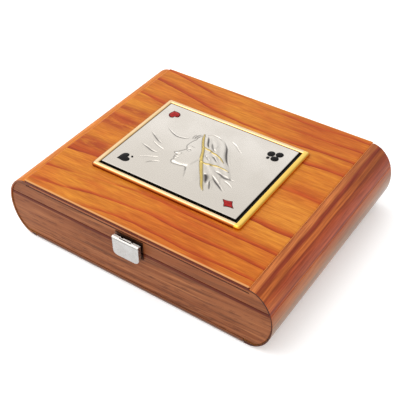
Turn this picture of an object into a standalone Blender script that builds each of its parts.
"""Poker chip case: a wooden box with rounded sides, a relief plaque on its lid and a lift-flap latch.

Metres, +Z up. +X runs right along the front and the front faces -Y. The origin is the centre of the plane
that the case rests on, under its felt.
"""

import math

import bmesh
import bpy
from mathutils import Matrix, Vector

# Case
WIDTH = 0.2400  # across the widest part of the rounded sides
DEPTH = 0.1910
HEIGHT = 0.0590  # rest plane to the top panel, without the plaque
PARTING = 0.0412  # height of the line where the lid meets the base
WAIST = 0.0298  # height of the widest part
SIDE_REACH = 0.0197  # how far each rounded side stands out from the flat bottom
SHOULDER = 0.0016  # the rounded sides start this far below the top panel
PANEL = 0.0028  # thickness of the top and bottom panels
PANEL_HALF_X = 0.1007
BOARD = 0.0060  # thickness of the front and back boards
BOARD_SETBACK = 0.0008  # the boards stand this far inside the shell's rim
RIM = 0.0012  # wall of the shell around the boards' ends
WALL_X = 0.0980  # inner face of each side
FELT = 0.0009
LINING = 0.0008
GAP = 0.0003  # between pieces that touch

# Insert
TROUGH_R = 0.0200  # for chips of 39 mm
TROUGH_LIP = 0.0010
TROUGH_FLOOR = 0.0015
DIVIDER = 0.0025
DIVIDER_X = 0.0295  # centre well's half width
DIVIDER_HEIGHT = 0.0230
PAD = 0.0015
SEPARATOR = 0.0020

# Plaque
PLAQUE_CENTRE = (-0.0013, -0.0006)  # a little off the lid's centre, as fitted
FRAME_HALF = (0.0679, 0.0528)
FRAME_WIDTH = 0.0039
FRAME_HEIGHT = 0.0026
PLATE_CENTRE = (-0.0025, 0.0003)  # leaves a wider black border in front and on the right
PLATE_HALF = (0.0618, 0.0468)
GROUND = 0.0008  # thickness of the black ground under the plate
PLATE = 0.0012
RELIEF = 0.0024
RELIEF_CENTRE = (0.0060, 0.0)
RELIEF_REACH = (0.0300, 0.0290)
ENAMEL = 0.0008

# Hinges
HINGE_X = 0.0600
HINGE_WIDTH = 0.0300
HINGE_SCREW_X = 0.0095  # from the middle of a leaf to its screws
LEAF = 0.0010
LEAF_HEIGHT = 0.0102
LEAF_CLEAR = 0.0023  # from the hinge axis to the straight edge of a leaf
KNUCKLE_R = 0.0020
KNUCKLE_GAP = 0.0002
HINGE_PIN_R = 0.0010
BORE_PLAY = 0.00009

# Latch
FLAP_HALF_X = 0.0119
FLAP_LOW = 0.0333
FLAP_TOP = 0.0501
FLAP_FRONT = 0.0060  # from the front board to the face of the flap
FLAP_DEPTH = 0.0036
FLAP_WALL = 0.0015
FLAP_SKIN = 0.0010
FLANGE = 0.0007
FLANGE_CROWN = 0.0006  # how far the flange swells above the face's top edge
FLANGE_SLOT = 0.0055  # half length of the slot in the flange
EAR_NOTCH = (0.0035, 0.0055)  # notches behind the flange that pass the ears
FLAP_CORNER = 0.0045
LATCH_PIN_R = 0.0005
LATCH_PLATE = 0.0007
EAR_R = 0.0010
EAR_X = (0.0039, 0.0051)
LATCH_PLATE_HALF_X = 0.0123

# Screws
SHANK_R = 0.0007
HEAD_R = 0.0016
HEAD_HEIGHT = 0.0008
SCREW_REACH = 0.0048  # how far a shank goes into its board
SCREW_PLAY = 0.0003

HALF_X = WIDTH / 2
HALF_Y = DEPTH / 2
ROUND_X = HALF_X - SIDE_REACH
FLOOR = FELT + GAP  # underside of the wood
UPPER_RISE = HEIGHT - SHOULDER - WAIST
LOWER_RISE = WAIST - FLOOR
BASE_TOP = PARTING - GAP / 2
LID_LOW = PARTING + GAP / 2
PANEL_LOW = HEIGHT - PANEL
BOARD_OUT = HALF_Y - BOARD_SETBACK
BOARD_IN = BOARD_OUT - BOARD
INSIDE_Y = BOARD_IN - GAP
LINING_TOP = FLOOR + PANEL + GAP + LINING
INSERT_LOW = LINING_TOP + GAP
RACK_DEPTH = 2 * (TROUGH_R + TROUGH_LIP)
RACK_Y = INSIDE_Y - RACK_DEPTH / 2
TROUGH_Z = INSERT_LOW + TROUGH_FLOOR + TROUGH_R
WELL_Y = INSIDE_Y - RACK_DEPTH - GAP
HINGE_Y = BOARD_OUT + GAP + LEAF_CLEAR - 0.0001
LATCH_Y = -BOARD_OUT - 0.0035
LATCH_Z = FLAP_TOP - 0.0020
PLATE_TOP = HEIGHT + GAP + GROUND + GAP + PLATE

ROUND_STEPS = 14
SMALL_STEPS = 12


# Helpers


def clear_scene():
    for obj in list(bpy.data.objects):
        bpy.data.objects.remove(obj)


def material(name, colour, roughness, metallic=0.0):
    mat = bpy.data.materials.new(name)
    mat.use_nodes = True
    shader = mat.node_tree.nodes["Principled BSDF"]
    shader.inputs["Base Color"].default_value = (*colour, 1.0)
    shader.inputs["Roughness"].default_value = roughness
    shader.inputs["Metallic"].default_value = metallic
    return mat


def place(name, bm, mat, parent=None):
    """One piece from a bmesh in world coordinates, turned with its parent."""
    bmesh.ops.recalc_face_normals(bm, faces=bm.faces)
    mesh = bpy.data.meshes.new(name)
    bm.to_mesh(mesh)
    bm.free()
    obj = bpy.data.objects.new(name, mesh)
    obj.data.materials.append(mat)
    bpy.context.collection.objects.link(obj)
    if parent:
        obj.parent = parent
        obj.matrix_parent_inverse = Matrix.Translation(-parent_point(parent))
    return obj


def parent_point(empty):
    point = empty.location.copy()
    if empty.parent:
        point += parent_point(empty.parent)
    return point


def axis_empty(name, point, parent=None):
    empty = bpy.data.objects.new(name, None)
    empty.location = Vector(point) - (parent_point(parent) if parent else Vector())
    empty.parent = parent
    bpy.context.collection.objects.link(empty)
    return empty


def slab(x, y, z):
    """A box between two values on each axis."""
    bm = bmesh.new()
    size = [high - low for low, high in (x, y, z)]
    centre = [(high + low) / 2 for low, high in (x, y, z)]
    turn = Matrix.Translation(centre) @ Matrix.Diagonal((*size, 1.0))
    bmesh.ops.create_cube(bm, size=1.0, matrix=turn)
    return bm


def prism(outline, axis, low, high):
    """An outline of (a, b) points run along an axis: (y, z) along x, (x, z) along y or (x, y) along z."""
    order = {"x": (2, 0, 1), "y": (0, 2, 1), "z": (0, 1, 2)}[axis]
    bm = bmesh.new()
    ends = []
    for level in (low, high):
        ends.append([bm.verts.new([(a, b, level)[k] for k in order]) for a, b in outline])
    bm.faces.new(ends[0])
    bm.faces.new(reversed(ends[1]))
    count = len(outline)
    for i in range(count):
        j = (i + 1) % count
        bm.faces.new((ends[0][i], ends[1][i], ends[1][j], ends[0][j]))
    return bm


def arc(centre, radii, start, stop, steps):
    """Points of an ellipse's arc, with its angles in degrees."""
    points = []
    for i in range(steps + 1):
        angle = math.radians(start + (stop - start) * i / steps)
        points.append((centre[0] + radii[0] * math.cos(angle), centre[1] + radii[1] * math.sin(angle)))
    return points


def turned(profile, centre, direction, steps=SMALL_STEPS):
    """A closed solid of revolution: (radius, height) points from one end of its axis to the other."""
    bm = bmesh.new()
    turn = Matrix.Translation(centre) @ Vector(direction).to_track_quat("Z", "Y").to_matrix().to_4x4()
    rings = []
    for radius, height in profile:
        circle = arc((0, 0), (radius, radius), 0, 360, steps)[:-1] if radius else [(0, 0)]
        rings.append([bm.verts.new(turn @ Vector((x, y, height))) for x, y in circle])
    closed = profile[0][0] > 0
    following = rings[1:] + (rings[:1] if closed else [])
    for ring, after in zip(rings, following):
        for i in range(steps):
            j = (i + 1) % steps
            here = [ring[i % len(ring)], ring[j % len(ring)]]
            bm.faces.new(list(dict.fromkeys(here + [after[j % len(after)], after[i % len(after)]])))
    return bm


def rod(centre, direction, radius, length, steps=SMALL_STEPS):
    half = length / 2
    return turned([(0, -half), (radius, -half), (radius, half), (0, half)], centre, direction, steps)


def boolean(obj, bm, operation="DIFFERENCE"):
    """Cuts a shape from a piece, or adds one to it, with a hidden helper."""
    name = f"{obj.name}_{operation.lower()}_{len(obj.modifiers)}"
    helper = place(name, bm, obj.data.materials[0], obj.parent)
    helper.hide_render = True
    helper.display_type = "WIRE"
    step = obj.modifiers.new(operation.title(), "BOOLEAN")
    step.operation = operation
    step.object = helper
    return obj


def smooth(obj):
    obj.data.shade_smooth()
    obj.data.set_sharp_from_angle(angle=math.radians(40))
    return obj


def soften(obj, width):
    """Takes the corners off a piece."""
    bevel = obj.modifiers.new("Bevel", "BEVEL")
    bevel.width = width
    bevel.segments = 2
    bevel.limit_method = "ANGLE"
    return obj


def mirrored(outline):
    """The right half of an outline, bottom to top, with its left half added."""
    return outline + [(-a, b) for a, b in reversed(outline)]


# The case's rounded profile


def side_curve(low, high, inset=0.0):
    """(x, z) points up the right side's rounded face, between two heights, set in from the outer face."""

    def angle_at(z):
        rise = (UPPER_RISE if z > WAIST else LOWER_RISE) - inset
        return math.degrees(math.asin(max(-1.0, min(1.0, (z - WAIST) / rise))))

    points = []
    for i in range(ROUND_STEPS + 1):
        angle = math.radians(angle_at(low) + (angle_at(high) - angle_at(low)) * i / ROUND_STEPS)
        rise = (UPPER_RISE if angle > 0 else LOWER_RISE) - inset
        x = ROUND_X + (SIDE_REACH - inset) * math.cos(angle)
        points.append((x, WAIST + rise * math.sin(angle)))
    return points


def base_side_outline():
    return [(WALL_X, FLOOR)] + side_curve(FLOOR, BASE_TOP) + [(WALL_X, BASE_TOP)]


def lid_side_outline():
    ledge = PANEL_HALF_X + GAP
    curve = side_curve(LID_LOW, HEIGHT - SHOULDER)
    rebate = [(ledge, HEIGHT - SHOULDER), (ledge, PANEL_LOW - GAP), (WALL_X, PANEL_LOW - GAP)]
    return [(WALL_X, LID_LOW)] + curve[:-1] + rebate


def board_recess(low, high):
    """The pocket in the end of a side that takes a front or back board."""
    return [(WALL_X - BOARD, low)] + side_curve(low, high, RIM) + [(WALL_X - BOARD, high)]


def side(name, outline, recess, mat, sign, parent=None):
    """A rounded side, running front to back, with a recess at each end for the boards."""
    piece = place(name, prism([(sign * x, z) for x, z in outline], "y", -HALF_Y, HALF_Y), mat, parent)
    for end in (-1, 1):
        near = end * INSIDE_Y
        far = end * (HALF_Y + BOARD)
        boolean(piece, prism([(sign * x, z) for x, z in recess], "y", min(near, far), max(near, far)))
    return smooth(piece)


def board(name, low, high, mat, end, parent=None):
    """A front (-1) or back (1) board with the case's full profile between two heights."""
    outline = mirrored(side_curve(low, high, RIM + GAP))
    faces = sorted((end * BOARD_IN, end * BOARD_OUT))
    return place(name, prism(outline, "y", *faces), mat, parent)


# Base


def make_base_shell(wood, side_wood, front_wood, felt):
    place("base_felt", slab((-0.0970, 0.0970), (-0.0920, 0.0920), (0, FELT)), felt)
    across = (GAP - WALL_X, WALL_X - GAP)
    place("base_bottom_panel", slab(across, (-HALF_Y, HALF_Y), (FLOOR, FLOOR + PANEL)), wood)
    recess = board_recess(FLOOR + PANEL, PARTING + BOARD)
    side("base_side_left", base_side_outline(), recess, side_wood, -1)
    side("base_side_right", base_side_outline(), recess, side_wood, 1)
    low = FLOOR + PANEL + GAP
    front = board("base_front_board", low, BASE_TOP, front_wood, -1)
    back = board("base_back_board", low, BASE_TOP, front_wood, 1)
    place("floor_lining", slab(across, (-INSIDE_Y, INSIDE_Y), (low, LINING_TOP)), felt)
    return front, back


def make_chip_rack(name, y, mat):
    """A half-round trough for a row of chips, open at both ends against the sides."""
    half = RACK_DEPTH / 2
    trough = arc((y, TROUGH_Z), (TROUGH_R, TROUGH_R), 0, -180, ROUND_STEPS)
    outline = [(y - half, INSERT_LOW), (y + half, INSERT_LOW), (y + half, TROUGH_Z)]
    outline += trough + [(y - half, TROUGH_Z)]
    reach = WALL_X - GAP
    smooth(place(name, prism(outline, "x", -reach, reach), mat))


def make_rack_separator(name, y, mat):
    """A thin upright plate that parts a row of chips in two."""
    radius = TROUGH_R - GAP
    below = arc((y, TROUGH_Z), (radius, radius), 0, -180, ROUND_STEPS)
    above = arc((y, TROUGH_Z), (radius, radius / 2), 180, 0, ROUND_STEPS)
    smooth(place(name, prism(below + above[1:-1], "x", -SEPARATOR / 2, SEPARATOR / 2), mat))


def make_insert(flocked, wood, felt):
    for word, sign in (("front", -1), ("back", 1)):
        make_chip_rack(f"chip_rack_{word}", sign * RACK_Y, flocked)
        make_rack_separator(f"rack_separator_{word}", sign * RACK_Y, wood)
    along = (-WELL_Y, WELL_Y)
    for word, sign in (("left", -1), ("right", 1)):
        inner = DIVIDER_X
        outer = DIVIDER_X + DIVIDER
        across = sorted((sign * inner, sign * outer))
        rise = (INSERT_LOW, INSERT_LOW + DIVIDER_HEIGHT)
        place(f"divider_{word}", slab(across, along, rise), wood)
        across = sorted((sign * (outer + GAP), sign * (WALL_X - GAP)))
        place(f"card_pad_{word}", slab(across, along, (INSERT_LOW, INSERT_LOW + PAD)), felt)
    across = (GAP - DIVIDER_X, DIVIDER_X - GAP)
    place("centre_pad", slab(across, along, (INSERT_LOW, INSERT_LOW + PAD)), felt)


# Lid


def make_lid_shell(hinge, wood, side_wood, front_wood, felt):
    across = (-PANEL_HALF_X, PANEL_HALF_X)
    top = place("lid_top_panel", slab(across, (-HALF_Y, HALF_Y), (PANEL_LOW, HEIGHT)), wood, hinge)
    soften(top, PANEL / 4)
    recess = board_recess(PARTING - BOARD, HEIGHT - SHOULDER - RIM)
    side("lid_side_left", lid_side_outline(), recess, side_wood, -1, hinge)
    side("lid_side_right", lid_side_outline(), recess, side_wood, 1, hinge)
    high = PANEL_LOW - GAP
    front = board("lid_front_board", LID_LOW, high, front_wood, -1, hinge)
    back = board("lid_back_board", LID_LOW, high, front_wood, 1, hinge)
    across = (GAP - WALL_X, WALL_X - GAP)
    place("lid_lining", slab(across, (-INSIDE_Y, INSIDE_Y), (high - 3 * LINING, high)), felt, hinge)
    return front, back


# Plaque


def make_plaque_frame(hinge, mat):
    """A mitred moulding: its section, inwards from the outer edge, is carried round the four corners."""
    low = HEIGHT + GAP
    width = FRAME_WIDTH
    high = low + FRAME_HEIGHT
    section = [(0, low), (0, low + 0.0016), (0.0010, low + 0.0023), (0.0024, high)]
    section += [(width - 0.0005, high - 0.0001), (width, high - 0.0004), (width, low)]
    bm = bmesh.new()
    corners = []
    for sx, sy in ((-1, -1), (1, -1), (1, 1), (-1, 1)):
        corner = []
        for inset, z in section:
            x = PLAQUE_CENTRE[0] + sx * (FRAME_HALF[0] - inset)
            y = PLAQUE_CENTRE[1] + sy * (FRAME_HALF[1] - inset)
            corner.append(bm.verts.new((x, y, z)))
        corners.append(corner)
    for here, after in zip(corners, corners[1:] + corners[:1]):
        for i in range(len(section)):
            j = (i + 1) % len(section)
            bm.faces.new((here[i], after[i], after[j], here[j]))
    place("plaque_frame", bm, mat, hinge)


def make_plaque_plate(hinge, mat):
    """The pressed plate: flat, with a low swelling under the head."""
    columns, rows = 20, 16
    low = HEIGHT + 2 * GAP + GROUND
    bm = bmesh.new()
    floor, face = [], []
    for j in range(rows + 1):
        for i in range(columns + 1):
            x = PLATE_CENTRE[0] + PLATE_HALF[0] * (2 * i / columns - 1)
            y = PLATE_CENTRE[1] + PLATE_HALF[1] * (2 * j / rows - 1)
            u = (x - RELIEF_CENTRE[0]) / RELIEF_REACH[0]
            v = (y - RELIEF_CENTRE[1]) / RELIEF_REACH[1]
            swell = max(0.0, 1 - u * u - v * v)
            floor.append(bm.verts.new((x, y, low)))
            face.append(bm.verts.new((x, y, low + PLATE + RELIEF * swell)))
    step = columns + 1
    edge = [i for i in range(step)]
    edge += [j * step + columns for j in range(1, rows + 1)]
    edge += [rows * step + i for i in range(columns - 1, -1, -1)]
    edge += [j * step for j in range(rows - 1, 0, -1)]
    for j in range(rows):
        for i in range(columns):
            k = j * step + i
            bm.faces.new((face[k], face[k + 1], face[k + step + 1], face[k + step]))
    bm.faces.new([floor[k] for k in reversed(edge)])
    for k, after in zip(edge, edge[1:] + edge[:1]):
        bm.faces.new((floor[k], floor[after], face[after], face[k]))
    bmesh.ops.delete(bm, geom=[v for v in bm.verts if not v.link_faces], context="VERTS")
    smooth(place("plaque_plate", bm, mat, hinge))


def polar_outline(radius, steps):
    """Points round a centre at the distance that a function of the angle gives."""
    points = []
    for i in range(steps):
        angle = 2 * math.pi * i / steps
        points.append((radius(angle) * math.cos(angle), radius(angle) * math.sin(angle)))
    return points


def reach_of_circles(circles):
    """For an angle, the farthest point along it that lies in any of some (x, y, radius) circles."""

    def reach(angle):
        best = 0.0
        for x, y, r in circles:
            along = x * math.cos(angle) + y * math.sin(angle)
            aside = x * math.sin(angle) - y * math.cos(angle)
            if abs(aside) < r:
                best = max(best, along + math.sqrt(r * r - aside * aside))
        return best

    return reach


def heart_outline(size):
    """A heart with its tip along +a."""
    points = []
    for i in range(24):
        t = 2 * math.pi * i / 24
        across = 16 * math.sin(t) ** 3
        along = -(13 * math.cos(t) - 5 * math.cos(2 * t) - 2 * math.cos(3 * t) - math.cos(4 * t))
        points.append((size * along / 30, size * across / 30))
    return points


def spade_outline(size):
    """A spade with its tip along +a and a short stem behind."""
    stem = [(-0.33, -0.06), (-0.62, -0.13), (-0.62, 0.13), (-0.33, 0.06)]
    body = [(size * a + 0.05 * size, size * b) for a, b in heart_outline(1.0)]
    notch = min(range(len(body)), key=lambda i: abs(body[i][1]) + (body[i][0] > 0))
    ordered = body[notch + 1 :] + body[:notch]
    tail = [(size * a, size * b) for a, b in stem]
    return ordered + (tail if ordered[-1][1] < 0 else tail[::-1])


def club_outline(size):
    """Three lobes and a stem, with the top lobe along +a."""
    lobe = 0.23 * size
    circles = [(0.25 * size, 0, lobe)]
    circles += [(-0.08 * size, side * 0.22 * size, lobe) for side in (1, -1)]
    circles += [(-0.25 * size, 0, 0.10 * size), (-0.36 * size, 0, 0.10 * size), (0, 0, 0.12 * size)]
    return polar_outline(reach_of_circles(circles), 40)


def diamond_outline(size):
    """Four points with hollow sides between them."""
    half = (size / 2, size / 3)
    points = []
    for k in range(4):
        for turn, reach in ((0, 1.0), (math.pi / 4, 0.62)):
            angle = math.pi / 2 * k + turn
            points.append((reach * half[0] * math.cos(angle), reach * half[1] * math.sin(angle)))
    return points


def make_suit(name, outline, centre, angle, mat, hinge):
    turn = math.radians(angle)
    points = []
    for a, b in outline:
        x = centre[0] + a * math.cos(turn) - b * math.sin(turn)
        y = centre[1] + a * math.sin(turn) + b * math.cos(turn)
        points.append((x, y))
    place(name, prism(points, "z", PLATE_TOP + GAP, PLATE_TOP + GAP + ENAMEL), mat, hinge)


def make_plaque(hinge, gilt, black, silver, red, ink):
    """Every suit points at its own corner."""
    make_plaque_frame(hinge, gilt)
    inside = []
    for centre, half in zip(PLAQUE_CENTRE, FRAME_HALF):
        reach = half - FRAME_WIDTH - GAP
        inside.append((centre - reach, centre + reach))
    ground = slab(*inside, (HEIGHT + GAP, HEIGHT + GAP + GROUND))
    place("plaque_ground", ground, black, hinge)
    make_plaque_plate(hinge, silver)
    make_suit("enamel_heart", heart_outline(0.0106), (-0.0520, 0.0345), 127, red, hinge)
    make_suit("enamel_spade", spade_outline(0.0105), (-0.0518, -0.0337), 219, ink, hinge)
    make_suit("enamel_club", club_outline(0.0140), (0.0460, 0.0325), 48, ink, hinge)
    make_suit("enamel_diamond", diamond_outline(0.0134), (0.0457, -0.0354), -22, red, hinge)


# Fasteners and hinges


def make_screw(name, face, direction, mat, parent=None):
    """A round-headed screw whose head sits just off the face it clamps."""
    profile = [(0, HEAD_HEIGHT), (0.6 * HEAD_R, 0.85 * HEAD_HEIGHT)]
    profile += [(HEAD_R, 0.3 * HEAD_HEIGHT), (HEAD_R, 0)]
    profile += [(SHANK_R, 0), (SHANK_R, -SCREW_REACH - LEAF), (0, -SCREW_REACH - LEAF - SHANK_R)]
    seat = Vector(face) + GAP * Vector(direction)
    smooth(place(name, turned(profile, seat, direction), mat, parent))


def drill(obj, x, z, sign):
    """A screw's hole through a plate and into the board behind it, on the front (-1) or the back (1)."""
    boolean(obj, rod((x, sign * (BOARD_OUT + 0.0005), z), (0, 1, 0), SHANK_R + SCREW_PLAY, 0.0110))


def make_leaf(name, x, sign, mat, parent=None):
    """A hinge leaf below (-1) or above (1) the axis: two knuckles on the base, one on the lid."""
    third = HINGE_WIDTH / 3
    inner = HINGE_Y - LEAF_CLEAR + 0.0001
    heights = sorted((PARTING + sign * LEAF_CLEAR, PARTING + sign * (LEAF_CLEAR + LEAF_HEIGHT)))
    width = (x - HINGE_WIDTH / 2, x + HINGE_WIDTH / 2)
    leaf = place(name, slab(width, (inner, inner + LEAF), heights), mat, parent)
    for k in (0,) if sign > 0 else (-1, 1):
        span = third - KNUCKLE_GAP
        centre = x + k * third
        boolean(leaf, rod((centre, HINGE_Y, PARTING), (1, 0, 0), KNUCKLE_R, span, 20), "UNION")
        web = sorted((PARTING, PARTING + sign * (LEAF_CLEAR + 0.0010)))
        across = (centre - 0.48 * span, centre + 0.48 * span)
        tongue = slab(across, (inner + 0.0001, inner + 0.9 * LEAF), web)
        boolean(leaf, tongue, "UNION")
    boolean(leaf, rod((x, HINGE_Y, PARTING), (1, 0, 0), HINGE_PIN_R + BORE_PLAY, 2 * HINGE_WIDTH, 24))
    return smooth(leaf)


def make_hinge(word, x, brass, steel, base_board, lid_board, hinge):
    """A butt hinge on the back, with its axis just outside the boards."""
    middle = LEAF_CLEAR + LEAF_HEIGHT / 2
    leaves = (("base", -1, base_board, None), ("lid", 1, lid_board, hinge))
    for body, sign, timber, parent in leaves:
        leaf = make_leaf(f"hinge_leaf_{body}_{word}", x, sign, brass, parent)
        for side_word, offset in (("outer", HINGE_SCREW_X), ("inner", -HINGE_SCREW_X)):
            at = x + math.copysign(1, x) * offset
            z = PARTING + sign * middle
            drill(leaf, at, z, 1)
            drill(timber, at, z, 1)
            face = (at, BOARD_OUT + GAP + LEAF, z)
            make_screw(f"hinge_screw_{body}_{word}_{side_word}", face, (0, 1, 0), steel, parent)
    length = HINGE_WIDTH / 2
    head = HINGE_PIN_R + 0.0005
    profile = [(0, -length - 0.0008), (head, -length - 0.0006), (head, -length - GAP / 2)]
    profile += [(HINGE_PIN_R, -length - GAP / 2), (HINGE_PIN_R, length + 0.0004), (0, length + 0.0007)]
    smooth(place(f"hinge_pin_{word}", turned(profile, (x, HINGE_Y, PARTING), (1, 0, 0), 24), steel))


# Latch


def make_latch_plate(hinge, mat):
    """The dark plate on the lid's front, with two ears that carry the flap's pin."""
    face = -BOARD_OUT - GAP
    across = (-LATCH_PLATE_HALF_X, LATCH_PLATE_HALF_X)
    plate = place("latch_plate", slab(across, (face - LATCH_PLATE, face), (0.0419, 0.0516)), mat, hinge)
    for sign in (-1, 1):
        across = sorted((sign * EAR_X[0], sign * EAR_X[1]))
        levels = (LATCH_Z - 0.9 * EAR_R, LATCH_Z + 0.3 * EAR_R)
        boolean(plate, slab(across, (LATCH_Y, face - LATCH_PLATE / 2), levels), "UNION")
        centre = (sum(across) / 2, LATCH_Y, LATCH_Z)
        boolean(plate, rod(centre, (1, 0, 0), EAR_R, EAR_X[1] - EAR_X[0], 16), "UNION")
    boolean(plate, rod((0, LATCH_Y, LATCH_Z), (1, 0, 0), LATCH_PIN_R + BORE_PLAY, 4 * EAR_X[1], 16))
    return plate


def make_latch_flap(latch, mat):
    """A shallow tray with rounded lower corners, a slotted flange on top and a hook in its foot."""
    front = -BOARD_OUT - FLAP_FRONT
    back = front + FLAP_DEPTH
    inner = FLAP_HALF_X - FLAP_CORNER
    corner = arc((inner, FLAP_LOW + FLAP_CORNER), (FLAP_CORNER, FLAP_CORNER), -90, 0, 6)
    outline = mirrored(corner + [(FLAP_HALF_X, FLAP_TOP)])
    flap = place("latch_flap", prism(outline, "y", front, back), mat, latch)
    hollow = FLAP_HALF_X - FLAP_WALL
    floor = FLAP_LOW + FLAP_WALL + 0.0001
    room = [(hollow, floor + 0.0024), (hollow, FLAP_TOP - FLANGE)]
    pocket = mirrored([(hollow - 0.0024, floor)] + room)
    boolean(flap, prism(pocket, "y", front + FLAP_SKIN, back + 0.0020))
    crown = [(front + 0.0001, FLAP_TOP - 0.0002), (front + 0.0007, FLAP_TOP + 0.7 * FLANGE_CROWN)]
    crown += [(front + 0.0016, FLAP_TOP + FLANGE_CROWN), (back - 0.0001, FLAP_TOP - 0.0002)]
    boolean(flap, prism(crown, "x", 0.0001 - FLAP_HALF_X, FLAP_HALF_X - 0.0001), "UNION")
    levels = (FLAP_TOP - 0.0020, FLAP_TOP + 0.0020)
    boolean(flap, slab((-FLANGE_SLOT, FLANGE_SLOT), (front + 0.0013, front + 0.0018), levels))
    for sign in (-1, 1):
        across = sorted(sign * x for x in EAR_NOTCH)
        boolean(flap, slab(across, (LATCH_Y - 0.0002, back + 0.0020), levels))
    levels = (FLAP_LOW + 0.0006, floor - 0.0001)
    hook = slab((-0.0050, 0.0050), (front + FLAP_SKIN / 2, back + 0.0008), levels)
    boolean(flap, hook, "UNION")
    boolean(flap, rod((0, LATCH_Y, LATCH_Z), (1, 0, 0), LATCH_PIN_R + BORE_PLAY, 3 * FLAP_HALF_X, 16))
    return flap


def make_latch_keeper(mat):
    """The plate on the base's front, with the lip that the flap's hook goes under."""
    face = -BOARD_OUT - GAP
    low = FLAP_LOW + FLAP_WALL + GAP + 0.0001
    across = (-LATCH_PLATE_HALF_X, LATCH_PLATE_HALF_X)
    keeper = place("latch_keeper", slab(across, (face - LATCH_PLATE, face), (low, 0.0406)), mat)
    lip = slab((-0.0060, 0.0060), (face - 0.0026, face - LATCH_PLATE / 2), (low + 0.00001, low + 0.0012))
    return boolean(keeper, lip, "UNION")


def make_latch(hinge, chrome, dark, steel, lid_board, base_board):
    latch = axis_empty("latch_axis", (0, LATCH_Y, LATCH_Z), hinge)
    plate = make_latch_plate(hinge, dark)
    keeper = make_latch_keeper(dark)
    make_latch_flap(latch, chrome)
    outer = -BOARD_OUT - GAP - LATCH_PLATE
    for word, sign in (("left", -1), ("right", 1)):
        seats = (
            (f"latch_screw_{word}", plate, lid_board, sign * 0.0075, 0.0443, hinge),
            (f"keeper_screw_{word}", keeper, base_board, sign * 0.0045, 0.0386, None),
        )
        for name, metal, timber, x, z, parent in seats:
            drill(metal, x, z, -1)
            drill(timber, x, z, -1)
            make_screw(name, (x, outer, z), (0, -1, 0), steel, parent)
    pin = rod((0, LATCH_Y, LATCH_Z), (1, 0, 0), LATCH_PIN_R, 2 * FLAP_HALF_X - 0.0004, 16)
    smooth(place("latch_pin", pin, steel, hinge))
    inside = LATCH_PIN_R + BORE_PLAY
    half = EAR_X[0] - GAP
    coil = [(inside, -half), (EAR_R, -half), (EAR_R, half), (inside, half)]
    smooth(place("latch_spring", turned(coil, (0, LATCH_Y, LATCH_Z), (1, 0, 0), 16), steel, hinge))


def main():
    clear_scene()
    top_wood = material("top_wood", (0.70, 0.22, 0.03), 0.20)
    side_wood = material("side_wood", (0.36, 0.09, 0.03), 0.20)
    front_wood = material("front_wood", (0.33, 0.13, 0.06), 0.30)
    inner_wood = material("inner_wood", (0.25, 0.09, 0.04), 0.35)
    felt = material("felt", (0.02, 0.10, 0.05), 0.95)
    flocked = material("flocked_plastic", (0.03, 0.03, 0.03), 0.90)
    gilt = material("gilt", (0.90, 0.65, 0.18), 0.20, 1.0)
    black = material("black_ground", (0.01, 0.008, 0.005), 0.30)
    silver = material("silver", (0.75, 0.73, 0.69), 0.30, 1.0)
    red = material("red_enamel", (0.45, 0.02, 0.02), 0.15)
    ink = material("black_enamel", (0.01, 0.01, 0.012), 0.15)
    chrome = material("chrome", (0.75, 0.75, 0.74), 0.15, 1.0)
    dark = material("dark_steel", (0.04, 0.03, 0.025), 0.40, 0.8)
    brass = material("brass", (0.70, 0.50, 0.18), 0.25, 1.0)
    steel = material("steel", (0.60, 0.60, 0.60), 0.25, 1.0)

    hinge = axis_empty("lid_axis", (0, HINGE_Y, PARTING))
    base_front, base_back = make_base_shell(top_wood, side_wood, front_wood, felt)
    make_insert(flocked, inner_wood, felt)
    lid_front, lid_back = make_lid_shell(hinge, top_wood, side_wood, front_wood, felt)
    make_plaque(hinge, gilt, black, silver, red, ink)
    for word, x in (("left", -HINGE_X), ("right", HINGE_X)):
        make_hinge(word, x, brass, steel, base_back, lid_back, hinge)
    make_latch(hinge, chrome, dark, steel, lid_front, base_front)


main()
